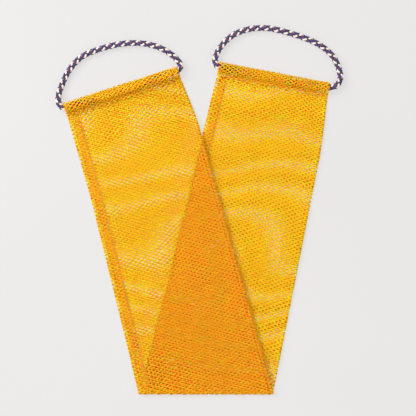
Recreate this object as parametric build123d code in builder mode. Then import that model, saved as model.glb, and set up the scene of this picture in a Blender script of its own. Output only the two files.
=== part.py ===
from build123d import *
from math import cos, pi, radians, sin, tan
import os

# A net back scrubber: a flattened sleeve of knitted net, hemmed at both ends, with a braided cord
# hand loop in each hem. It lies folded once across its middle. The lower leg lies on the table and
# leans to the right, and the upper leg lies over it, leans to the left and drapes down to the table.
# Millimetres, +Z up. The origin is the centre of the folded strap's footprint, on the table.
# A hem's own directions are "along" its outer edge, from left to right, and "across" it, inwards.

os.makedirs("parts", exist_ok=True)

# The net
net = 0.8  # thickness of one wall of net
leg = 2 * net  # the flattened sleeve
leg_gap = 1.6  # air left between the two legs by the springy fold
rise = leg + leg_gap  # how far the upper leg stands above the table where it lies on the lower one
seam_width = 8.0

# The fold, a half round bend along X
crease_y = -150.6  # where the flat legs end and the bend starts
crease_left = (-53.0, crease_y)
crease_right = (69.2, crease_y)
bend_inner = leg_gap / 2
bend_outer = bend_inner + leg
bend_middle = (bend_inner + bend_outer) / 2
unfold_pivot_y = crease_y - pi * bend_middle / 2

# The hems
hem_depth = 13.0
hem_round = 4.9  # outer radius of the turned-over edge, round the cord
hem_inset = 3.5  # the casing's open ends stop this far short of the sleeve's corners
hem_ledge = 10.0  # where the casing comes down to four walls of net
tunnel = 3.3  # radius of the tunnel that the cord lies in

# The upper leg
upper_corner = (-122.6, 116.1)  # outer left corner of its hem
upper_tilt = 18.0  # degrees from +X to the hem's outer edge
upper_width = 108.0
upper_left_bow = (-96.5, 26.5)  # the left edge bends a little here
upper_right_neck = (-1.0, 100.4)  # the right edge starts to draw in towards the hem here

# The lower leg
lower_corner = (21.93, 153.65)
lower_tilt = -10.7
lower_width = 101.5
lower_right_neck = (113.2, 72.6)

# The upper leg's drape over the lower leg's left edge
drape_start = 2.0  # measured square to that edge
drape_run = 16.0
drape_steps = 6
far = 400.0  # past the object on every side
high = 50.0  # above the object

# Thread
stitch = (2.6, 0.7, 0.4)  # length, width and height of one stitch
hem_stitch_pitch = 4.0
seam_stitch_pitch = 5.0
hem_stitch_line = 11.6  # from the hem's outer edge
thread = 0.4  # radius of the tacks' thread
tack_count = 4
tack_pitch = 2.2
tack_start = 18.0  # from the casing's open end

# The cord
cord = 3.0  # radius
bend_share = 0.45  # share of the shorter run that an arc takes up
upper_tails = (30.0, 40.0)  # lengths inside the casing, left and right
lower_tails = (35.0, 37.0)


def hem_point(corner, tilt, along, across):
    """A point of the hem's own grid, as (x, y)."""
    c, s = cos(radians(tilt)), sin(radians(tilt))
    return (corner[0] + along * c + across * s, corner[1] + along * s - across * c)


def name_and_write(part, label):
    part.part.label = label
    export_step(part.part, f"parts/{label}.step")


# Outlines. Each leg runs from the crease to the inner edge of its hem.
upper_left_edge = [
    crease_left,
    upper_left_bow,
    hem_point(upper_corner, upper_tilt, 0, hem_depth),
]
upper_outline = upper_left_edge + [
    hem_point(upper_corner, upper_tilt, upper_width, hem_depth),
    upper_right_neck,
    crease_right,
]
lower_left_edge = [
    crease_left,
    hem_point(lower_corner, lower_tilt, 0, hem_depth),
]
lower_outline = lower_left_edge + [
    hem_point(lower_corner, lower_tilt, lower_width, hem_depth),
    lower_right_neck,
    crease_right,
]


def strip_along(edge):
    """The outline of a strip of seam_width inside a left edge, run on past both of its ends."""
    first = Vector(*edge[0]) - (Vector(*edge[1]) - Vector(*edge[0])).normalized() * hem_depth
    last = Vector(*edge[-1]) + (Vector(*edge[-1]) - Vector(*edge[-2])).normalized() * hem_depth
    points = [first] + [Vector(*p) for p in edge[1:-1]] + [last]
    lean = (last - first).get_angle(Vector(0, 1))
    shift = Vector(seam_width / cos(radians(lean)), 0)
    return points + [p + shift for p in reversed(points)]


def panel_sketch(outline, left_edge, plane, seam):
    """The seam's strip of a leg where seam is true, and otherwise the rest of the leg."""
    with BuildSketch(plane) as panel:
        with BuildLine():
            Polyline(*outline, close=True)
        make_face()
        with BuildSketch(mode=Mode.PRIVATE) as strip:
            with BuildLine():
                Polyline(*strip_along(left_edge), close=True)
            make_face()
        add(strip.sketch, mode=Mode.INTERSECT if seam else Mode.SUBTRACT)
    return panel.sketch


def drape_height(u):
    """How high the upper leg's underside is, u outside the lower leg's left edge."""
    t = min(max((u - drape_start) / drape_run, 0), 1)
    return rise * (1 - t * t * (3 - 2 * t))


def drape_points(height):
    """The upper leg's underside raised by height, from over the lower leg out to the table."""
    steps = [drape_start + drape_run * i / drape_steps for i in range(drape_steps + 1)]
    return [(u, drape_height(u) + height) for u in [-far] + steps + [far]]


# The drape's section stands square to the lower leg's left edge and is the same all along it.
edge_way = (Vector(*lower_left_edge[1]) - Vector(*lower_left_edge[0])).normalized()
edge_out = edge_way.rotate(Axis.Z, 90)
drape_plane = Plane(origin=crease_left, x_dir=edge_out, z_dir=edge_way)


def draped(outline, left_edge, bottom, top, seam):
    """A part of the upper leg between two heights above its underside."""
    with BuildPart() as layer:
        with BuildSketch(drape_plane):
            with BuildLine():
                Polyline(*drape_points(bottom), *reversed(drape_points(top)), close=True)
            make_face()
        extrude(amount=far, both=True)
        add(panel_sketch(outline, left_edge, Plane.XY, seam))
        extrude(amount=high, mode=Mode.INTERSECT)
    return layer


# Lower leg: two walls and the seam that closes the sleeve
with BuildPart() as lower_under_wall:
    add(panel_sketch(lower_outline, lower_left_edge, Plane.XY, False))
    extrude(amount=net)
name_and_write(lower_under_wall, "lower_leg_under_wall")

with BuildPart() as lower_top_wall:
    add(panel_sketch(lower_outline, lower_left_edge, Plane.XY.offset(net), False))
    extrude(amount=net)
name_and_write(lower_top_wall, "lower_leg_top_wall")

with BuildPart() as lower_seam:
    add(panel_sketch(lower_outline, lower_left_edge, Plane.XY, True))
    extrude(amount=leg)
name_and_write(lower_seam, "lower_side_seam")

# Upper leg
upper_under_wall = draped(upper_outline, upper_left_edge, 0, net, False)
name_and_write(upper_under_wall, "upper_leg_under_wall")

upper_top_wall = draped(upper_outline, upper_left_edge, net, leg, False)
name_and_write(upper_top_wall, "upper_leg_top_wall")

upper_seam = draped(upper_outline, upper_left_edge, 0, leg, True)
name_and_write(upper_seam, "upper_side_seam")


def fold_wall(label, inner, outer):
    """One wall of the sleeve going round the fold."""
    with BuildPart() as wall:
        with BuildSketch(Plane.YZ.offset(crease_left[0])):
            with Locations((crease_y, bend_outer)):
                Circle(outer)
                Circle(inner, mode=Mode.SUBTRACT)
            with Locations((crease_y, bend_outer)):
                Rectangle(outer, 2 * outer, align=(Align.MIN, Align.CENTER), mode=Mode.SUBTRACT)
        extrude(amount=crease_right[0] - crease_left[0])
    name_and_write(wall, label)


fold_wall("fold_outer_wall", bend_middle, bend_outer)
fold_wall("fold_inner_wall", bend_inner, bend_middle)


def hem_plane(corner, tilt, along):
    """A plane square to the hem at a distance along it, its X inwards, its Y up, facing left."""
    c, s = cos(radians(tilt)), sin(radians(tilt))
    x, y = hem_point(corner, tilt, along, 0)
    return Plane(origin=(x, y, 0), x_dir=(s, -c, 0), z_dir=(-c, -s, 0))


def make_casing(label, corner, tilt, width):
    """The sleeve's end turned over round the cord and sewn down."""
    with BuildPart() as casing:
        with BuildSketch(hem_plane(corner, tilt, width - hem_inset)):
            with Locations((hem_round, hem_round)):
                Circle(hem_round)
            with Locations((hem_round, 0)):
                Rectangle(hem_ledge - hem_round, 2 * leg, align=Align.MIN)
            make_hull()
            with Locations((hem_ledge, 0)):
                Rectangle(hem_depth - hem_ledge, 2 * leg, align=Align.MIN)
            with Locations((hem_round, hem_round)):
                Circle(tunnel, mode=Mode.SUBTRACT)
        extrude(amount=width - 2 * hem_inset)
    name_and_write(casing, label)


def make_tails(name, corner, tilt, width, tails):
    """The cord's two ends in the casing, each from its open end inwards."""
    starts = (hem_inset + tails[0], width - hem_inset)
    for side, start, length in zip(("left", "right"), starts, tails):
        with BuildPart() as tail:
            with BuildSketch(hem_plane(corner, tilt, start)):
                with Locations((hem_round, hem_round)):
                    Circle(cord)
            extrude(amount=length)
        name_and_write(tail, f"{name}_cord_tail_{side}")


def make_tacks(label, corner, tilt, width):
    """Thread sewn down through the casing and each cord end."""
    steps = [hem_inset + tack_start + tack_pitch * i for i in range(tack_count)]
    places = [hem_point(corner, tilt, a, hem_round) for a in steps + [width - a for a in steps]]
    with BuildPart() as tacks:
        with BuildSketch(Plane.XY.offset(thread)):
            with Locations(*places):
                Circle(thread)
        extrude(amount=2 * hem_round)
    name_and_write(tacks, label)


def make_hem_stitches(label, corner, tilt, width):
    """A row of stitches on the casing's ledge, holding it to the leg."""
    count = int((width - 2 * hem_inset) // hem_stitch_pitch)
    first = (width - hem_stitch_pitch * (count - 1)) / 2
    alongs = [first + hem_stitch_pitch * i for i in range(count)]
    with BuildPart() as row:
        with BuildSketch(Plane.XY.offset(2 * leg)):
            for along in alongs:
                with Locations(Location(hem_point(corner, tilt, along, hem_stitch_line) + (0,), tilt)):
                    SlotOverall(stitch[0], stitch[1])
        extrude(amount=stitch[2])
    name_and_write(row, label)


def make_hem(name, corner, tilt, width, tails):
    make_casing(f"{name}_hem_casing", corner, tilt, width)
    make_tails(name, corner, tilt, width, tails)
    make_tacks(f"{name}_cord_tacks", corner, tilt, width)
    make_hem_stitches(f"{name}_hem_stitches", corner, tilt, width)


make_hem("lower", lower_corner, lower_tilt, lower_width, lower_tails)
make_hem("upper", upper_corner, upper_tilt, upper_width, upper_tails)


def make_seam_stitches(label, left_edge, surface):
    """Stitches on top of the seam along its inner side. surface gives the seam's top at a point."""
    lean = Vector(0, 1).get_angle(Vector(*left_edge[-1]) - Vector(*left_edge[0]))
    inside = Vector((seam_width - 2 * stitch[1]) / cos(radians(lean)), 0)
    made = []
    for start, end in zip(left_edge, left_edge[1:]):
        way = Vector(*end) - Vector(*start)
        angle = 90 - Vector(0, 1).get_signed_angle(way, Vector(0, 0, -1))
        for i in range(int(way.length // seam_stitch_pitch)):
            place = Vector(*start) + inside + way.normalized() * seam_stitch_pitch * (i + 0.5)
            with BuildPart() as one:
                with BuildSketch(Plane(Location((place.X, place.Y, surface(place)), angle))):
                    SlotOverall(stitch[0], stitch[1])
                extrude(amount=stitch[2])
            made.append(one.part)
    with BuildPart() as row:
        add(made)
    name_and_write(row, label)


def upper_surface(place):
    """The upper leg's top, a little under it on the slope so that every stitch stays sewn in."""
    u = (place - Vector(*crease_left)).dot(edge_out)
    return min(drape_height(u - stitch[0] / 2), drape_height(u + stitch[0] / 2)) + leg


make_seam_stitches("lower_seam_stitches", lower_left_edge, lambda place: leg)
make_seam_stitches("upper_seam_stitches", upper_left_edge, upper_surface)

# Hand loops. Each starts and ends straight out of its casing's tunnel, and its other points lie on
# the table, so that its centre is one cord radius up.
mouth_run = 5.6
lie = cord


def hem_exit(corner, tilt, along):
    """A point on the tunnel's line."""
    return hem_point(corner, tilt, along, hem_round) + (hem_round,)


def loop_route(corner, tilt, width, middle):
    """The loop's points, from the casing's left open end to its right one."""
    left = [hem_exit(corner, tilt, hem_inset), hem_exit(corner, tilt, hem_inset - mouth_run)]
    right = [
        hem_exit(corner, tilt, width - hem_inset + mouth_run),
        hem_exit(corner, tilt, width - hem_inset),
    ]
    return left + middle + right


upper_middle = [
    (-127.6, 114.2, 4.4),
    (-128.4, 122.2, 3.5),
    (-124.6, 133.4, lie),
    (-118.6, 146.4, lie),
    (-107.6, 158.8, lie),
    (-92.4, 165.2, lie),
    (-72.6, 170.6, lie),
    (-51.8, 171.8, lie),
    (-34.0, 167.4, lie),
    (-21.8, 159.6, 3.4),
    (-14.8, 151.6, 4.3),
]
lower_middle = [
    (16.2, 152.8, 4.3),
    (17.0, 159.8, 3.4),
    (22.6, 169.6, lie),
    (33.0, 179.2, lie),
    (47.0, 184.4, lie),
    (64.0, 185.6, lie),
    (80.6, 182.0, lie),
    (99.0, 176.2, lie),
    (114.6, 169.2, lie),
    (126.2, 158.8, lie),
    (131.4, 146.6, lie),
    (132.6, 138.2, 3.6),
    (129.4, 132.0, 4.4),
]


def corner_radii(points):
    """The arc at each corner, as large as its two runs allow."""
    radii = []
    for before, here, after in zip(points, points[1:], points[2:]):
        run_in, run_out = Vector(*here) - Vector(*before), Vector(*after) - Vector(*here)
        half_turn = radians(run_in.get_angle(run_out)) / 2
        radii.append(bend_share * min(run_in.length, run_out.length) / tan(half_turn))
    return radii


def make_loop(label, points):
    radii = corner_radii(points)
    with BuildPart() as loop:
        with BuildLine() as path:
            FilletPolyline(*points, radius=radii)
        with BuildSketch(Plane(origin=path.wire() @ 0, z_dir=path.wire() % 0)):
            Circle(cord)
        sweep()
    length = path.wire().length
    name_and_write(loop, label)
    print(label, "radii", [round(r, 1) for r in radii])
    print(label, "length", round(length, 1), "section x length", round(pi * cord**2 * length, 1))
    print(label, "volume", round(loop.part.volume, 1))


make_loop("upper_hand_loop", loop_route(upper_corner, upper_tilt, upper_width, upper_middle))
make_loop("lower_hand_loop", loop_route(lower_corner, lower_tilt, lower_width, lower_middle))

print("unfold pivot y, z", round(unfold_pivot_y, 3), bend_outer)
for name, corner, tilt, width in (
    ("upper", upper_corner, upper_tilt, upper_width),
    ("lower", lower_corner, lower_tilt, lower_width),
):
    x, y, z = hem_exit(corner, tilt, width / 2)
    print(name, "tunnel middle", round(x, 3), round(y, 3), z)
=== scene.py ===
from math import cos, pi, radians, sin

import bpy
import numpy as np
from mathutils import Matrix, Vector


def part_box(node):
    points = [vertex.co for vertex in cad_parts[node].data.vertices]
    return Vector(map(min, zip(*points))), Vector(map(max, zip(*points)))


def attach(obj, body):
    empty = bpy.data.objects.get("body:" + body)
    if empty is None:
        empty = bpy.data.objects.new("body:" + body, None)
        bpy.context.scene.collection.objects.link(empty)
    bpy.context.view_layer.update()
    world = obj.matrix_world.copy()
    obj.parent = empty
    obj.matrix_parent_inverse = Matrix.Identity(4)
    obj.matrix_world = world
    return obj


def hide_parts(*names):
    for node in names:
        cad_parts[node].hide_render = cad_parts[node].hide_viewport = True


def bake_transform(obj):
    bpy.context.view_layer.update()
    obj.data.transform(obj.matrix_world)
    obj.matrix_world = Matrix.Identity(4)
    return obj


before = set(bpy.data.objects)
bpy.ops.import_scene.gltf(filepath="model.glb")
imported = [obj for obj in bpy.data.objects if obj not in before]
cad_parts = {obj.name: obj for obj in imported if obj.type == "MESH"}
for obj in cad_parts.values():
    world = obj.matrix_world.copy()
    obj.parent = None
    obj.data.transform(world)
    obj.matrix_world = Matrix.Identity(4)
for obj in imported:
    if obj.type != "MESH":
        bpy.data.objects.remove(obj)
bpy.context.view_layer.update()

# A net back scrubber: a flattened sleeve of knitted nylon net, hemmed at both ends, with a braided
# cord hand loop in each hem, lying folded once across its middle. Metres, +Z up, in the CAD's frame.
# "Lower" and "upper" are the two legs of the folded strap, and the upper one lies on the lower one.

scene = bpy.context.scene
scene.view_settings.view_transform = "Standard"
light_bounces = 24  # the light goes from yarn to yarn and through them many times
scene.cycles.max_bounces = light_bounces
scene.cycles.diffuse_bounces = light_bounces
scene.cycles.transmission_bounces = light_bounces
random = np.random.default_rng(7)

# ---- Sizes that the frame gives

fold_low, fold_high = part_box("fold_outer_wall")
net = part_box("lower_leg_under_wall")[1].z  # thickness of one wall of net
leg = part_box("lower_leg_top_wall")[1].z  # the flattened sleeve
crease_y = fold_high.y  # where the flat legs end and the fold's bend starts
crease_left, crease_right = (fold_low.x, crease_y), (fold_high.x, crease_y)
bend_outer = fold_high.z / 2
rise = fold_high.z - leg  # how far the upper leg stands above the table on the lower one
hem_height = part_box("lower_hem_casing")[1].z
hem_round = hem_height / 2  # outer radius of the turned-over edge, round the cord
cord_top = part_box("lower_cord_tail_left")[1].z
cord = cord_top - hem_round  # the cord's radius

# ---- Sizes of the hems and the legs' edges

strip_width = 0.118  # the flattened sleeve at the crease, where no hem draws it in
hem_depth = 0.013
hem_inset = 0.0035  # how far the casing's open ends stop short of the sleeve's corners
seam_width = 0.008
upper_corner, upper_tilt, upper_width = (-0.1226, 0.1161), 18.0, 0.108
lower_corner, lower_tilt, lower_width = (0.02193, 0.15365), -10.7, 0.1015
upper_left_bow = (-0.0965, 0.0265)
upper_right_neck = (-0.0010, 0.1004)
lower_right_neck = (0.1132, 0.0726)
drape_start, drape_run = 0.002, 0.016  # the upper leg's way down to the table, past the lower leg's edge
upper_tails = (0.030, 0.040)  # the cord's two ends inside the casing, left and right
lower_tails = (0.035, 0.037)
mouth_run = 0.0056  # how far a loop runs straight on out of its casing


def hem_point(corner, tilt, along, across):
    """A point of the hem's own grid: along its outer edge from the left, and across it inwards."""
    c, s = cos(radians(tilt)), sin(radians(tilt))
    return (corner[0] + along * c + across * s, corner[1] + along * s - across * c)


def smooth(t):
    """From 0 to 1 as t goes from 0 to 1, with no corner at either end."""
    t = np.clip(t, 0, 1)
    return t * t * (3 - 2 * t)


# ---- Camera, floor and light

view_width = 0.3848  # how much of the table the picture's width takes in
camera_at = (0.0100, 0.0190, 1.30)
camera = bpy.data.objects.new("camera", bpy.data.cameras.new("camera"))
camera.location = camera_at
camera.data.lens = camera.data.sensor_width * camera_at[2] / view_width
scene.collection.objects.link(camera)
scene.camera = camera


def add_light(name, location, size, power, colour):
    """A square soft light that faces the middle of the table."""
    light = bpy.data.lights.new(name, "AREA")
    light.size = size
    light.energy = power
    light.color = colour
    item = bpy.data.objects.new(name, light)
    item.location = location
    item.rotation_euler = (-item.location).to_track_quat("-Z", "Y").to_euler()
    scene.collection.objects.link(item)


add_light("key", (-0.95, 0.58, 0.95), 0.85, 18.0, (1.0, 0.99, 0.97))
add_light("fill", (0.9, -0.5, 1.6), 1.6, 6.0, (1.0, 0.98, 0.96))
world = bpy.data.worlds.new("studio")
world.use_nodes = True
world.node_tree.nodes["Background"].inputs["Color"].default_value = (1.0, 1.0, 1.0, 1)
world.node_tree.nodes["Background"].inputs["Strength"].default_value = 0.62
scene.world = world


# ---- Materials


class Shades:
    """Builds one node material, a node at a time."""

    def __init__(self, name):
        self.material = bpy.data.materials.new(name)
        self.material.use_nodes = True
        self.tree = self.material.node_tree
        self.shader = self.tree.nodes["Principled BSDF"]
        self.place = self.add("ShaderNodeTexCoord").outputs["Object"]

    def add(self, kind, **inputs):
        node = self.tree.nodes.new(kind)
        for name, value in inputs.items():
            self.give(node.inputs[name.replace("_", " ")], value)
        return node

    def give(self, socket, value):
        if isinstance(value, bpy.types.NodeSocket):
            self.tree.links.new(value, socket)
        else:
            socket.default_value = value

    def noise(self, scale, detail=2.0):
        return self.add("ShaderNodeTexNoise", Vector=self.place, Scale=scale, Detail=detail).outputs[0]

    def ramp(self, factor, *stops):
        node = self.add("ShaderNodeValToRGB", Fac=factor)
        ends = node.color_ramp.elements
        while len(ends) < len(stops):
            ends.new(0.5)
        for end, (position, colour) in zip(ends, stops):
            end.position, end.color = position, (*colour, 1)
        return node.outputs[0]

    def bump(self, height, strength, distance):
        return self.add("ShaderNodeBump", Height=height, Strength=strength, Distance=distance).outputs[0]


def net_material(name, dark, light):
    """Nylon yarn that lets light through, a little uneven in colour."""
    m = Shades(name)
    colour = m.ramp(m.noise(700, 3), (0.30, dark), (0.70, light))
    m.give(m.shader.inputs["Base Color"], colour)
    m.shader.inputs["Roughness"].default_value = 0.36
    m.shader.inputs["Specular IOR Level"].default_value = 0.2
    m.shader.inputs["Subsurface Weight"].default_value = 1.0
    m.shader.inputs["Subsurface Radius"].default_value = (0.4, 2.2, 0.6)
    m.shader.inputs["Subsurface Scale"].default_value = 0.001
    m.shader.inputs["Subsurface Anisotropy"].default_value = 0.8
    m.give(m.shader.inputs["Normal"], m.bump(m.noise(2600, 3), 0.5, 0.0001))
    return m.material


def thread_material(name, dark, light, roughness, sheen=0.0):
    """Spun or filament thread, its colour shifting a little along it, with fine fibres in relief."""
    m = Shades(name)
    m.give(m.shader.inputs["Base Color"], m.ramp(m.noise(420, 3), (0.35, dark), (0.65, light)))
    m.shader.inputs["Roughness"].default_value = roughness
    m.shader.inputs["Sheen Weight"].default_value = sheen
    m.give(m.shader.inputs["Normal"], m.bump(m.noise(3200, 3), 0.6, 0.00012))
    return m.material


def floor_material():
    """A pale floor with a glow of its own, which comes up through the net as from a bright table."""
    m = Shades("floor")
    dark, light = (0.16, 0.158, 0.156), (0.18, 0.177, 0.175)
    m.give(m.shader.inputs["Base Color"], m.ramp(m.noise(3), (0.3, dark), (0.7, light)))
    m.shader.inputs["Roughness"].default_value = 0.75
    m.shader.inputs["Emission Color"].default_value = (1.0, 0.985, 0.975, 1)
    m.shader.inputs["Emission Strength"].default_value = 0.62
    m.shader.inputs["Specular IOR Level"].default_value = 0.2
    return m.material


# The net is one golden yellow. Light that goes through one yarn after another turns orange, more than the
# shader's own scatter shows,
# so painted shade stands in for it: the yarn's inside faces, the hems and the places where walls of net pile
# up are painted in deeper yarns.
net_yarn = net_material("net_yarn", (0.98, 0.68, 0.006), (1.0, 0.80, 0.010))
# painted shade: the yarn's inside faces, a deeper orange where less light reaches
inner_shade_yarn = net_material("inner_shade_yarn", (0.96, 0.32, 0.002), (1.0, 0.40, 0.003))
# painted shade: the hem's piled-up walls of net, painted a deeper orange than the legs
hem_shade_yarn = net_material("hem_shade_yarn", (0.98, 0.46, 0.004), (1.0, 0.56, 0.006))
# painted shade: the upper leg's under wall, inside, where it lies on the lower leg
shut_in_shade_yarn = net_material("shut_in_shade_yarn", (0.90, 0.10, 0.001), (0.94, 0.15, 0.001))
# painted shade: the upper leg's top wall where it lies on the lower leg
lapped_shade_yarn = net_material("lapped_shade_yarn", (0.97, 0.42, 0.004), (1.0, 0.52, 0.006))
# painted shade: a band along the upper leg's right edge, where it lies on the lower leg
edge_shade_yarn = net_material("edge_shade_yarn", (0.95, 0.36, 0.003), (1.0, 0.46, 0.004))
net_materials = [net_yarn, inner_shade_yarn, shut_in_shade_yarn, lapped_shade_yarn, edge_shade_yarn]
outside, inside, shut_in_shade, lapped_shade, lapped_edge_shade = range(len(net_materials))
hem_materials = [hem_shade_yarn, inner_shade_yarn]
seam_thread = thread_material("seam_thread", (0.78, 0.30, 0.010), (0.88, 0.40, 0.016), 0.5)
white_cord = thread_material("white_cord", (0.80, 0.76, 0.74), (0.90, 0.87, 0.85), 0.55, 0.3)
blue_cord = thread_material("blue_cord", (0.010, 0.016, 0.13), (0.022, 0.036, 0.23), 0.5, 0.2)
maroon_cord = thread_material("maroon_cord", (0.12, 0.010, 0.045), (0.21, 0.020, 0.085), 0.5, 0.2)
brown_cord = thread_material("brown_cord", (0.050, 0.016, 0.010), (0.095, 0.032, 0.018), 0.5, 0.2)

floor_size = 6.0
bpy.ops.mesh.primitive_plane_add(size=floor_size)
floor = bpy.context.object
floor.name = "floor"
floor.data.materials.append(floor_material())

# ---- Tubes


def oval(points, half_width, half_height):
    """A tube's section, as (sideways, outwards) pairs."""
    turn = np.arange(points) * 2 * pi / points
    return np.stack([np.cos(turn) * half_width, np.sin(turn) * half_height], 1)


class Tubes:
    """Gathers tubes of one section along many paths, and makes them one mesh."""

    def __init__(self):
        self.points, self.faces, self.kinds, self.count = [], [], [], 0

    def sweep(self, path, facing, section, kind=0, kinds=None, widths=1.0):
        """A closed tube along path. facing is the way out of the cloth or cord at each point, kinds
        gives each of the section's sides a material of its own, and widths widens it by place."""
        if len(path) < 2:
            return
        way = np.gradient(path, axis=0)
        side = np.cross(way, facing)
        side /= np.linalg.norm(side, axis=1, keepdims=True)
        out = np.cross(side, way)
        out /= np.linalg.norm(out, axis=1, keepdims=True)
        side = side * np.broadcast_to(widths, len(path))[:, None]
        rings = path[:, None] + side[:, None] * section[:, :1] + out[:, None] * section[:, 1:]
        rows, around = rings.shape[:2]
        here = self.count + np.arange(rows * around).reshape(rows, around)
        beside = np.roll(here, -1, axis=1)
        quads = np.stack([here[:-1], beside[:-1], beside[1:], here[1:]], -1).reshape(-1, 4)
        self.points.append(rings.reshape(-1, 3))
        self.faces += quads.tolist() + [here[0, ::-1].tolist(), here[-1].tolist()]
        self.kinds += ([kind] * around if kinds is None else kinds) * (rows - 1) + [kind] * 2
        self.count += rows * around

    def make(self, name, body, materials, slot, *replaced):
        """The finished piece."""
        mesh = bpy.data.meshes.new(name)
        mesh.from_pydata(np.concatenate(self.points), [], self.faces, shade_flat=False)
        for material in materials:
            mesh.materials.append(material)
        mesh.polygons.foreach_set("material_index", self.kinds)
        piece = bpy.data.objects.new(name, mesh)
        scene.collection.objects.link(piece)
        if body:
            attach(piece, body)
        if replaced:
            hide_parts(*replaced)
        return piece


# ---- Cords: the hand loops, and their ends in the hems

upper_middle = [
    (-0.1276, 0.1142, 0.0044),
    (-0.1284, 0.1222, 0.0035),
    (-0.1246, 0.1334, 0.0030),
    (-0.1186, 0.1464, 0.0030),
    (-0.1076, 0.1588, 0.0030),
    (-0.0924, 0.1652, 0.0030),
    (-0.0726, 0.1706, 0.0030),
    (-0.0518, 0.1718, 0.0030),
    (-0.0340, 0.1674, 0.0030),
    (-0.0218, 0.1596, 0.0034),
    (-0.0148, 0.1516, 0.0043),
]
lower_middle = [
    (0.0162, 0.1528, 0.0043),
    (0.0170, 0.1598, 0.0034),
    (0.0226, 0.1696, 0.0030),
    (0.0330, 0.1792, 0.0030),
    (0.0470, 0.1844, 0.0030),
    (0.0640, 0.1856, 0.0030),
    (0.0806, 0.1820, 0.0030),
    (0.0990, 0.1762, 0.0030),
    (0.1146, 0.1692, 0.0030),
    (0.1262, 0.1588, 0.0030),
    (0.1314, 0.1466, 0.0030),
    (0.1326, 0.1382, 0.0036),
    (0.1294, 0.1320, 0.0044),
]

lay = 0.0184  # length in which a strand goes once round the cord
carriers = 4  # strands each way
braid_middle = 0.00178  # radius of the strands' middle line
braid_wave = 0.00040  # how far a strand goes over and under that radius
fat_strand = oval(10, 0.00098, 0.00082)  # white and blue, the same way round
thin_strand = oval(8, 0.00088, 0.00072)  # maroon and brown, the other way round
braid_step = 0.0006  # from one point of a strand to the next
tip_section = oval(20, cord * 0.86, cord * 0.86)
tip_inside, tip_outside = 0.0004, 0.0005  # the sealed tip of a cord's end, each side of the strands' end
tail_drift, tail_sink = 0.0013, 0.0005  # how far a cord's end drifts inwards and down in its hem


def tunnel_point(corner, tilt, along):
    """A point on the line of a hem's tunnel."""
    return hem_point(corner, tilt, along, hem_round) + (hem_round,)


def route_line(name, points):
    """Points along the smooth line of a cord's route, braid_step apart."""
    curve = bpy.data.curves.new(name, "CURVE")
    curve.dimensions = "3D"
    curve.resolution_u = 24
    spline = curve.splines.new("NURBS")
    spline.points.add(len(points) - 1)
    for spot, point in zip(spline.points, points):
        spot.co = (*point, 1)
    spline.order_u = 3
    spline.use_endpoint_u = True
    item = bpy.data.objects.new(name, curve)
    scene.collection.objects.link(item)
    mesh = bpy.data.meshes.new_from_object(item)
    line = np.array([v.co for v in mesh.vertices])
    bpy.data.objects.remove(item)
    return even(line, braid_step)


def even(line, step):
    """The same line with its points step apart."""
    at = np.concatenate([[0], np.cumsum(np.linalg.norm(np.diff(line, axis=0), axis=1))])
    wanted = np.linspace(0, at[-1], int(at[-1] / step) + 1)
    return np.stack([np.interp(wanted, at, line[:, k]) for k in range(3)], 1)


def braid(tubes, line, start):
    """An eight strand braid along line. start is how far along the cord the line begins."""
    way = np.gradient(line, axis=0)
    side = np.cross(way, (0, 0, 1))
    side /= np.linalg.norm(side, axis=1, keepdims=True)
    up = np.cross(side, way)
    up /= np.linalg.norm(up, axis=1, keepdims=True)
    along = start + np.arange(len(line)) * braid_step
    over = np.cos(carriers * 2 * pi * along / lay)
    for turning, section in ((1, fat_strand), (-1, thin_strand)):
        for k in range(carriers):
            angle = turning * 2 * pi * along / lay + k * 2 * pi / carriers + pi / 4
            facing = np.cos(angle)[:, None] * side + np.sin(angle)[:, None] * up
            path = line + facing * (braid_middle + turning * braid_wave * over)[:, None]
            tubes.sweep(path, facing, section, k % 2 + (0 if turning > 0 else 2))


cord_materials = [white_cord, blue_cord, maroon_cord, brown_cord]
shaded_tail_materials = [brown_cord, blue_cord, maroon_cord, brown_cord]  # painted shade: the white strands are brown inside the hems, where the net shades them
tip_kind = len(shaded_tail_materials) - 1


def make_loop(name, corner, tilt, width, middle):
    """A hand loop, from one open end of its casing round to the other."""
    points = [tunnel_point(corner, tilt, hem_inset), tunnel_point(corner, tilt, hem_inset - mouth_run)]
    points += middle
    points += [tunnel_point(corner, tilt, width - hem_inset + mouth_run)]
    points += [tunnel_point(corner, tilt, width - hem_inset)]
    line = route_line(f"{name}_route", points)
    tubes = Tubes()
    braid(tubes, line, 0.0)
    loop = tubes.make(f"{name}_hand_loop_braid", f"{name}_loop", cord_materials, "cord", f"{name}_hand_loop")
    length = float(np.linalg.norm(np.diff(line, axis=0), axis=1).sum())
    return loop, line, points, length


loops = {}
loops["upper"] = make_loop("upper", upper_corner, upper_tilt, upper_width, upper_middle)
loops["lower"] = make_loop("lower", lower_corner, lower_tilt, lower_width, lower_middle)
for name, (loop, line, points, length) in loops.items():
    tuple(points[0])


def make_tails(name, corner, tilt, width, tails, loop_length):
    """The cord's two ends in the casing, each drawn inwards a little and sealed at its tip."""
    for side, start, inwards, length in (
        ("left", hem_inset, 1, tails[0]),
        ("right", width - hem_inset, -1, tails[1]),
    ):
        steps = np.linspace(0, length, int(length / braid_step) + 1)
        across = hem_round + tail_drift * smooth(steps / length)
        x, y = hem_point(corner, tilt, start + inwards * steps, across)
        line = np.stack([x, y, hem_round - tail_sink * smooth(steps / length)], 1)
        tubes = Tubes()
        if side == "left":
            braid(tubes, line[::-1], -length)
        else:
            braid(tubes, line, loop_length)
        way = (line[-1] - line[-2]) / braid_step
        tip = np.array([line[-1] - way * tip_inside, line[-1] + way * tip_outside])
        tubes.sweep(tip, np.tile((0.0, 0.0, 1.0), (2, 1)), tip_section, tip_kind)
        tubes.make(
            f"{name}_tail_braid_{side}",
            f"{name}_leg",
            shaded_tail_materials,
            "cord",
            f"{name}_cord_tail_{side}",
        )


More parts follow.
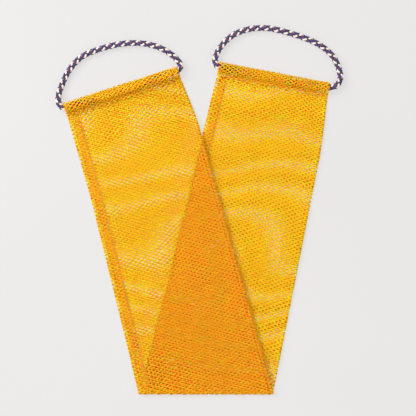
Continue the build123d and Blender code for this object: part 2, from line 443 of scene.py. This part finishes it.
make_tails("upper", upper_corner, upper_tilt, upper_width, upper_tails, loops["upper"][3])
make_tails("lower", lower_corner, lower_tilt, lower_width, lower_tails, loops["lower"][3])

# ---- The strap's net
# The sleeve is one long strip in two walls. A place on a wall is (s, v): s is from 0 at the left edge
# to 1 at the right one, and v is how far along the strip, below 0 on the lower leg. The crease runs
# askew across the strip, because the legs lean apart.

crease_skew = 0.0292  # how much further along the strip the crease is on the right than on the left
bend_wall = {"outer": bend_outer - net / 2, "inner": bend_outer - 3 * net / 2}  # bend radius of each wall
bend_wall |= {"front": bend_outer - 0.8 * net, "back": bend_outer - 1.2 * net}  # and of the seam allowance
half_bend = pi * (bend_outer - net) / 2
fold_reach = 0.0022  # how far the fold's own piece goes past the bend
edge_ease = 0.03  # an edge turns a corner of its outline over about this length
edge_spare = 0.06  # how far an edge's table runs on past both its ends
edge_step = 0.001  # from one place in the table to the next


class Leg:
    """One leg: its outline, and how places on the strip lie in it."""

    def __init__(self, name, side, left, right, corner, tilt, width, tails):
        self.name, self.side, self.tails = name, side, tails
        self.corner, self.tilt, self.width = corner, tilt, width
        left = left + [hem_point(corner, tilt, 0, hem_depth)]
        right = right + [hem_point(corner, tilt, width, hem_depth)]
        self.left, left_length = self.edge(left)
        self.right, right_length = self.edge(right)
        self.skew = side * crease_skew
        # How far along the strip the hem's inner line is at each edge, and the leg's mean length
        self.hem_left, self.hem_right = left_length, right_length - self.skew
        self.length = (left_length + right_length) / 2

    @staticmethod
    def edge(points):
        """An edge as a table of places by length along it, run on past both its ends."""
        points = np.array(points, float)
        ways = np.diff(points, axis=0)
        lengths = np.linalg.norm(ways, axis=1)
        first = points[0] - ways[0] / lengths[0] * edge_spare
        last = points[-1] + ways[-1] / lengths[-1] * edge_spare
        points = np.concatenate([[first], points, [last]])
        at = np.concatenate([[-edge_spare], [0], np.cumsum(lengths), [lengths.sum() + edge_spare]])
        fine = np.arange(at[0], at[-1], edge_step)
        rough = np.stack([np.interp(fine, at, points[:, k]) for k in (0, 1)], 1)
        weights = np.hanning(int(edge_ease / edge_step) + 2)
        weights /= weights.sum()
        eased = np.stack([np.convolve(rough[:, k], weights, "same") for k in (0, 1)], 1)
        kept = slice(len(weights), -len(weights))
        return (fine[kept], eased[kept]), lengths.sum()

    def flat(self, s, w):
        """The places (x, y) that are w up the leg, and s across it from the left."""
        fine, left = self.left
        a = np.stack([np.interp(w, fine, left[:, k]) for k in (0, 1)], 1)
        fine, right = self.right
        b = np.stack([np.interp(w + self.skew, fine, right[:, k]) for k in (0, 1)], 1)
        return a + (b - a) * s[:, None]


lower_leg = Leg(
    "lower",
    -1,
    [crease_left],
    [crease_right, lower_right_neck],
    lower_corner,
    lower_tilt,
    lower_width,
    lower_tails,
)
upper_leg = Leg(
    "upper",
    1,
    [crease_left, upper_left_bow],
    [crease_right, upper_right_neck],
    upper_corner,
    upper_tilt,
    upper_width,
    upper_tails,
)

edge_way = np.array(hem_point(lower_corner, lower_tilt, 0, hem_depth)) - np.array(crease_left)
edge_way /= np.linalg.norm(edge_way)
edge_out = np.array([-edge_way[1], edge_way[0]])


def off_lower_leg(xy):
    """How far a place is to the left of the lower leg's left edge."""
    return (xy - np.array(crease_left)) @ edge_out


def drape_height(xy):
    """How high the upper leg's underside is, as it comes down off the lower leg's left edge."""
    return rise * (1 - smooth((off_lower_leg(xy) - drape_start) / drape_run))


def ripple(xy):
    """The net's gentle rise and fall."""
    x, y = xy[:, 0], xy[:, 1]
    waves = np.sin(x * 95 + y * 31) + np.sin(y * 74 - x * 52 + 1.3) + np.sin(y * 141 + x * 20 + 4)
    return ripple_height * (3 + waves)


profile_places, profile_ease = 90, 11  # places in a section's table, and how many its corners ease over


def hem_profile(points):
    """A turned-over wall's section as a table of (across, height) by length along the wall."""
    points = np.array(points) / 1000
    at = np.arange(len(points))
    fine = np.linspace(0, at[-1], profile_places)
    line = np.stack([np.interp(fine, at, points[:, k]) for k in (0, 1)], 1)
    weights = np.hanning(profile_ease) / np.hanning(profile_ease).sum()
    spare = profile_ease // 2
    padded = np.pad(line, ((spare, spare), (0, 0)), mode="reflect", reflect_type="odd")
    line = np.stack([np.convolve(padded[:, k], weights, "valid") for k in (0, 1)], 1)
    return line, np.concatenate([[0], np.cumsum(np.linalg.norm(np.diff(line, axis=0), axis=1))])


# Millimetres across and up, from the leg round the outer edge to the raw edge on the ledge. The wall
# is round at the casing's open ends and pinched along the middle, where the cord lies further in.
hem_outer_round = hem_profile(
    [(13, 0.4), (8.6, 0.4), (4.9, 0.4), (1.7, 1.5), (0.4, 4.9), (1.7, 8.1), (4.9, 9.4), (8.1, 8.1)]
    + [(9.7, 5.4), (11, 3.2), (13.6, 2.8)]
)
hem_outer_pinched = hem_profile(
    [(13, 0.4), (8.6, 0.4), (3.6, 0.4), (0.9, 0.9), (0.4, 2.4), (1.3, 4.4), (3.3, 7.2), (5.9, 8.7)]
    + [(8.6, 7.5), (10.8, 3.6), (13.6, 2.8)]
)
hem_inner_round = hem_profile(
    [(13, 1.2), (8.6, 1.2), (4.9, 1.2), (2.3, 2.1), (1.2, 4.9), (2.3, 7.5), (4.9, 8.6), (7.5, 7.5)]
    + [(8.9, 4.8), (10.4, 2.6), (12.8, 2.0)]
)
hem_inner_pinched = hem_profile(
    [(13, 1.2), (8.6, 1.2), (4.2, 1.2), (1.7, 1.6), (1.2, 2.6), (2.0, 4.3), (3.7, 6.5), (5.9, 7.9)]
    + [(8.0, 6.7), (10.2, 2.8), (12.8, 2.0)]
)
pinch_share = 0.16  # of the hem's length, over which each end goes from round to pinched
hem_profiles = {True: (hem_outer_round, hem_outer_pinched), False: (hem_inner_round, hem_inner_pinched)}


def hem_section(under, s, distance):
    """(across, height) at a distance along the turned-over wall, at s along the hem."""
    pinch = smooth(np.minimum(s, 1 - s) / pinch_share)
    round_one, pinched = (
        np.stack([np.interp(distance * at[-1] / hem_wall_length, at, line[:, k]) for k in (0, 1)], 1)
        for line, at in hem_profiles[under]
    )
    return round_one + (pinched - round_one) * pinch[:, None]


hem_wall_length = hem_outer_pinched[1][-1]
columns = 41  # of holes, across the flattened sleeve
hem_scallop, scallop_depth = 0.0008, 0.0022  # how far the meshes stand out along the hem's turned edge
fold_scallop = 0.0008  # and along the fold
ripple_height = 0.00014
calm_run = 0.02  # the ripples die out over this length beside the crease and the hem
puff_height, puff_width = 0.0007, 0.0035  # the top wall stands up a little along its right edge
slope_step = 0.0004  # half the length over which the hem's slope is measured
leg_fullness = 1.08  # how much wider a leg is than its hem, on the whole
regions = ("fold", "lower_leg", "lower_seam", "lower_hem", "upper_leg", "upper_seam", "upper_hem")


def strap_place(s, v, wall):
    """Where places (s, v) of a wall lie, which way the wall faces there, and the region each is in."""
    place, facing = np.zeros((2, len(s), 3))
    region = np.full(len(s), -1)
    radius = bend_wall[wall]
    outwards = -1 if wall == "inner" else 1
    past = v + crease_skew * s
    bent = np.abs(past) < half_bend
    turn = past[bent] / half_bend * pi / 2
    across = crease_left[0] + (crease_right[0] - crease_left[0]) * s[bent]
    reach = radius + fold_scallop * np.cos(pi * columns * s[bent] / 2) ** 2
    place[bent] = np.stack([across, crease_y - reach * np.cos(turn), bend_outer + radius * np.sin(turn)], 1)
    facing[bent] = np.stack([turn * 0, -np.cos(turn), np.sin(turn)], 1) * outwards
    region[bent] = regions.index("fold")
    for limb in (lower_leg, upper_leg):
        on = past * limb.side >= half_bend
        w = limb.side * v - half_bend
        hem = w - (limb.hem_left * (1 - s) + limb.hem_right * s)
        flat = on & (hem <= 0)
        xy = limb.flat(s[flat], w[flat])
        up = limb.side * outwards
        gap = np.minimum(limb.side * past[flat] - half_bend, -hem[flat])
        calm = smooth(gap / calm_run)
        if limb is lower_leg:
            height = bend_outer - radius
        else:
            height = drape_height(xy) + radius - (bend_outer - leg)
        width = limb.width * leg_fullness
        puff = np.exp(-(((1 - s[flat]) * width / puff_width) ** 2)) * puff_height * (up > 0)
        place[flat] = np.column_stack([xy, height + (ripple(xy) + puff) * calm])
        facing[flat] = (0, 0, up)
        on_seam = s[flat] * width < seam_width
        piece = np.where(on_seam, regions.index(f"{limb.name}_seam"), regions.index(f"{limb.name}_leg"))
        near = limb.side * past[flat] < half_bend + fold_reach
        region[flat] = np.where(near, regions.index("fold"), piece)
        turned = on & (hem > 0)
        before = hem_section(up < 0, s[turned], hem[turned] - slope_step)
        beyond = hem_section(up < 0, s[turned], hem[turned] + slope_step)
        slope_far, slope_high = (beyond - before).T
        far, high = hem_section(up < 0, s[turned], hem[turned]).T
        scallop = hem_scallop * np.cos(pi * columns * s[turned] / 2) ** 2
        far = far - scallop * np.exp(-((far / scallop_depth) ** 2))
        x, y = hem_point(limb.corner, limb.tilt, s[turned] * limb.width, far)
        place[turned] = np.stack([x, y, high], 1)
        c, d = cos(radians(limb.tilt)), sin(radians(limb.tilt))
        normal = np.stack([slope_high * d, -slope_high * c, -slope_far], 1)
        facing[turned] = -normal * (1 if up < 0 else -1)
        region[turned] = np.where(hem[turned] < hem_wall_length, regions.index(f"{limb.name}_hem"), -1)
    return place, facing, region


# ---- Knitting
# The net's holes stand in columns along the strip, each column half a hole out of step with the next.
# Between two holes of a column, two yarns lie side by side, and from there they part.

hole_pitch = 0.00364
rung = 0.60  # how much of a column's pitch the two yarns lie side by side for
beside = 0.00040  # half the space between them there
over_under = 0.00010  # how far a yarn goes out of and into the wall, by turns
yarn = np.array([(-1.0, 0.0), (-0.48, 0.30), (0.0, 0.12), (0.48, 0.30), (1.0, 0.0), (0.0, -0.26)]) / 1000
# A yarn's section has four sides that face out of the sleeve and two that face into it, and those two are
# painted shade.
yarn_sides = [outside] * 4 + [inside] * 2
# The seam allowance's yarns are painted shade on all six sides.
shaded_sides = [inside] * 6
# Where the upper leg lies on the lower one, four walls of net pile up, and less light comes through from
# below. Painted shade stands in for that: there its top wall is painted deeper outside, its under wall
# deeper inside, and both deeper along the right edge.
lapped_shade_sides = {"outer": [lapped_shade] * 4 + [inside] * 2, "inner": [outside] * 4 + [shut_in_shade] * 2}
lapped_edge_shade_sides = [lapped_edge_shade] * 4 + [inside] * 2
lapped_edge_shade_width = 0.0030
edge_bulge = 0.0013  # how far a yarn stands out past the sleeve's edge
jitter = 0.00012  # how far a yarn's points stray
hem_yarn_width, hem_yarn_spare = 0.95, 0.37  # a hem's yarns, and how much narrower they stretch
stretch_run = 0.006

strip_spare = 0.07
strip_low = -(lower_leg.hem_left + strip_spare)
strip_high = upper_leg.hem_right + strip_spare


def warp(s, v, wall):
    """The knit isn't even: it wanders a little, each wall in its own way."""
    if wall == "outer":
        s = s + 0.004 * np.sin(v * 60) * np.sin(pi * s)
        v = v * 0.95 + 0.0010 * np.sin(v * 45 + 3 * s) + 0.0012 * np.sin(5 * s + v * 20)
    elif wall == "inner":
        s = s + 0.005 * np.sin(v * 47 + 2) * np.sin(pi * s)
        v = v * 1.06 + 0.0012 * (s - 0.5) + 0.0012 * np.sin(v * 52 + 4 * s + 1)
    else:
        v = v + (0.024 if wall == "front" else -0.020) * s
    return s, v


def stretch(limb, s):
    """The width of a hem's yarns, less where the net is stretched open over the cord's ends."""
    along = s * limb.width - hem_inset
    left = smooth((limb.tails[0] - along) / stretch_run)
    right = smooth((along - (limb.width - 2 * hem_inset - limb.tails[1])) / stretch_run)
    return hem_yarn_width - hem_yarn_spare * np.maximum(left, right)


def split(run, s, place, wall):
    """A run of the upper leg's yarn in parts, beside and over the lower leg and along the right edge
    over it, each with its sides' materials; the parts over the lower leg get the painted shade yarns."""
    over = (off_lower_leg(place[run, :2]) < 0).astype(int)
    over = over * (1 + ((1 - s[run]) * strip_width < lapped_edge_shade_width))
    cuts = [0, *(np.flatnonzero(over[1:] != over[:-1]) + 1), len(over) - 1]
    for a, b in zip(cuts, cuts[1:]):
        if b > a:
            sides = (yarn_sides, lapped_shade_sides[wall], lapped_edge_shade_sides)[over[a]]
            yield slice(run.start + a, run.start + b + 1), sides


def runs(region):
    """Each stretch of yarn that stays in one region, with that region's name. It reaches the next one."""
    start = 0
    for end in range(1, len(region) + 1):
        if end == len(region) or region[end] != region[start]:
            if region[start] >= 0:
                joins = end < len(region) and region[end] >= 0
                yield slice(start, end + 1 if joins else end), regions[region[start]]
            start = end


def sweep_yarn(pieces, wall, whole, s, place, facing, region):
    """Adds one yarn to the pieces that it runs through."""
    for run, name in runs(region):
        limb = lower_leg if "lower" in name else upper_leg
        widths = stretch(limb, s[run]) if "hem" in name else 1.0
        if name == "upper_leg" and whole:
            for part, sides in split(run, s, place, wall):
                pieces[name].sweep(place[part], facing[part], yarn, kinds=sides)
            continue
        # the seam allowance's yarns get painted shade all round
        sides = yarn_sides if whole else shaded_sides
        # painted shade: the fold's outer wall is painted as deep as the lapped top wall
        if name == "fold" and whole and wall == "outer":
            sides = lapped_shade_sides[wall]
        pieces[name].sweep(place[run], facing[run], yarn, kinds=sides, widths=widths)


def knit(wall, first=0, last=columns):
    """A wall's yarns between two columns, as tubes in the region that each stretch of yarn lies in."""
    pieces = {name: Tubes() for name in regions}
    pitch = 1 / columns
    rows = range(int(strip_low / hole_pitch), int(strip_high / hole_pitch))
    column = np.repeat(np.arange(first, last + 1), 2)
    s = np.clip((column + np.tile([-rung / 2, rung / 2], last + 1 - first)) * pitch, 0, 1)
    whole = last - first == columns
    odd = column % 2
    for row in rows:
        for above in (1, -1):
            level = (1 - odd) * (hole_pitch / 2 + above * beside)
            level = level + odd * ((hole_pitch - beside) if above > 0 else beside)
            v = row * hole_pitch + level
            shift = random.normal(0, jitter, (2, len(s)))
            inner = np.minimum(s, 1 - s) > 0
            ws, wv = warp(s, v, wall)
            ws = np.clip(ws + shift[0] * inner / strip_width, 0, 1)
            wv = wv + shift[1]
            place, facing, region = strap_place(ws, wv, wall)
            facing /= np.maximum(np.linalg.norm(facing, axis=1, keepdims=True), 1e-9)
            place = place + facing * (over_under * above * np.where(odd, -1, 1))[:, None]
            if whole:
                place, facing, region = close_edges(place, facing, region)
                ws = np.concatenate([ws[:1], ws, ws[-1:]])
            sweep_yarn(pieces, wall, whole, ws, place, facing, region)
    return pieces


def close_edges(place, facing, region):
    """Runs each yarn on over the sleeve's folded edges, where it meets the other wall's yarn."""
    for end, beside_end in ((0, 1), (-1, -2)):
        way = place[end] - place[beside_end]
        way /= np.linalg.norm(way)
        added = place[end] + way * edge_bulge - facing[end] * net / 2
        at = 0 if end == 0 else len(place)
        place = np.insert(place, at, added, axis=0)
        facing = np.insert(facing, at, facing[end] * 0.5 + way, axis=0)
        region = np.insert(region, at, region[end])
    return place, facing, region


walls = {wall: knit(wall) for wall in ("outer", "inner")}
allowance = [knit(layer, 1, 3) for layer in ("front", "back")]
net_pieces = {}


def joined(*many):
    """The tubes of several collections in one."""
    all_tubes = Tubes()
    for tubes in many:
        if tubes.count:
            all_tubes.faces += [[i + all_tubes.count for i in face] for face in tubes.faces]
            all_tubes.points += tubes.points
            all_tubes.kinds += tubes.kinds
            all_tubes.count += tubes.count
    return all_tubes


for wall, pieces in walls.items():
    for limb in ("lower", "upper"):
        part = "under" if (wall == "outer") == (limb == "lower") else "top"
        net_pieces[f"{limb}_{part}"] = pieces[f"{limb}_leg"].make(
            f"{limb}_leg_{part}_net", f"{limb}_leg", net_materials, "net", f"{limb}_leg_{part}_wall"
        )
    between = [layer["fold"] for layer in allowance] if wall == "inner" else []
    tubes = joined(pieces["fold"], *between)
    fold = tubes.make(f"fold_{wall}_net", None, net_materials, "net", f"fold_{wall}_wall")
    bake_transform(fold)
    net_pieces[f"fold_{wall}"] = fold


for limb in ("lower", "upper"):
    strips = [pieces[f"{limb}_seam"] for pieces in walls.values()]
    strips += [layer[f"{limb}_{part}"] for layer in allowance for part in ("seam", "leg")]
    seams = joined(*strips)
    net_pieces[f"{limb}_seam"] = seams.make(
        f"{limb}_side_seam_net", f"{limb}_leg", net_materials, "side_seam", f"{limb}_side_seam"
    )
    hems = joined(*(walls[wall][f"{limb}_hem"] for wall in walls))
    net_pieces[f"{limb}_hem"] = hems.make(
        f"{limb}_hem_net", f"{limb}_leg", hem_materials, "hem", f"{limb}_hem_casing"
    )

# ---- Thread: the seams, the hems and the tacks through the cords' ends

thread_section = oval(6, 0.00021, 0.00019)
thread_floor = 0.0002  # a seam's thread goes no lower than this
points_per_stitch = 8
seam_start, seam_end = 0.004, 0.006  # the seam's thread from the bend, and short of the hem
seam_line, zigzag_width, zigzag_pitch = 0.0086, 0.0018, 0.0026
zigzag_lift, zigzag_sink = 0.00046, 0.00030  # a zigzag stands out of the cloth and sinks in at its corners
overlock_line, overlock_width, overlock_pitch = 0.0116, 0.0020, 0.0024
overlock_lift, overlock_sink = 0.00012, 0.00035
chain_sink, chain_wave = 0.0002, 0.0004  # the straight thread under the overlock
tack_count, tack_pitch, tack_start, tack_reach = 4, 0.0022, 0.018, 0.0022
tack_lift, tack_sink = 0.00036, 0.0007


def on_strap(limb, wall, s, w, lift):
    """A thread's points and ways out of the cloth at (s, w), w from the bend up the leg."""
    place, facing, region = strap_place(s, limb.side * (w + half_bend), wall)
    facing /= np.linalg.norm(facing, axis=1, keepdims=True)
    return place + facing * np.broadcast_to(lift, s.shape)[:, None], facing


def sew_seam(limb):
    """A zigzag on both faces of the sleeve, through both walls and the allowance between them."""
    tubes = Tubes()
    steps = np.arange(0, limb.hem_left - seam_end, zigzag_pitch / points_per_stitch)
    swing = 2 * np.abs((steps / zigzag_pitch) % 1 - 0.5)
    s = (seam_line + zigzag_width * swing) / strip_width
    lift = zigzag_lift - zigzag_sink * (2 * np.abs(swing - 0.5)) ** 4
    for wall in walls:
        path, facing = on_strap(limb, wall, s, steps + seam_start, lift)
        path[:, 2] = np.maximum(path[:, 2], thread_floor)
        tubes.sweep(path, facing, thread_section)
    tubes.make(
        f"{limb.name}_seam_thread", f"{limb.name}_leg", [seam_thread], "thread", f"{limb.name}_seam_stitches"
    )


def sew_hem(limb):
    """Overlock stitches that hold the turned-over edge down on the ledge."""
    tubes = Tubes()
    along = np.arange(hem_inset, limb.width - hem_inset, overlock_pitch / points_per_stitch)
    swing = 2 * np.abs((along / overlock_pitch) % 1 - 0.5)
    across = overlock_line + overlock_width * (swing - 0.5)
    x, y = hem_point(limb.corner, limb.tilt, along, across)
    high = 2 * leg + overlock_lift - overlock_sink * (2 * np.abs(swing - 0.5)) ** 4
    up = np.tile((0.0, 0.0, 1.0), (len(along), 1))
    tubes.sweep(np.stack([x, y, high], 1), up, thread_section)
    x, y = hem_point(limb.corner, limb.tilt, along, overlock_line)
    wave = np.cos(2 * pi * along / overlock_pitch)
    tubes.sweep(np.stack([x, y, 2 * leg - chain_sink + chain_wave * wave], 1), up, thread_section)
    tubes.make(
        f"{limb.name}_hem_thread", f"{limb.name}_leg", [seam_thread], "thread", f"{limb.name}_hem_stitches"
    )


def sew_tacks(limb):
    """Short stitches over the casing's crest, four to each of the cord's ends."""
    tubes = Tubes()
    wall = "outer" if limb is lower_leg else "inner"
    line, at = hem_outer_pinched
    crest = at[line[:, 1].argmax()]
    spread = np.linspace(-1, 1, 13)
    for i in range(tack_count):
        from_side = hem_inset + tack_start + tack_pitch * i
        for along in (from_side, limb.width - from_side):
            s = np.full(len(spread), along / limb.width)
            start = limb.hem_left * (1 - s) + limb.hem_right * s
            lift = tack_lift - tack_sink * spread**6
            tubes.sweep(*on_strap(limb, wall, s, start + crest + spread * tack_reach, lift), thread_section)
    tubes.make(
        f"{limb.name}_tack_thread", f"{limb.name}_leg", [seam_thread], "thread", f"{limb.name}_cord_tacks"
    )


for limb in (lower_leg, upper_leg):
    sew_seam(limb)
    sew_hem(limb)
    sew_tacks(limb)

# ---- Each wall of a leg, from the crease to the hem's inner line, with the pieces that go with it

for limb, part, wall in (
    (lower_leg, "under", "outer"),
    (lower_leg, "top", "inner"),
    (upper_leg, "under", "inner"),
    (upper_leg, "top", "outer"),
):
    with_it = [net_pieces[f"fold_{wall}"]] if limb is lower_leg else []
    with_it += [net_pieces[f"{limb.name}_seam"], net_pieces[f"{limb.name}_hem"]] if part == "top" else []
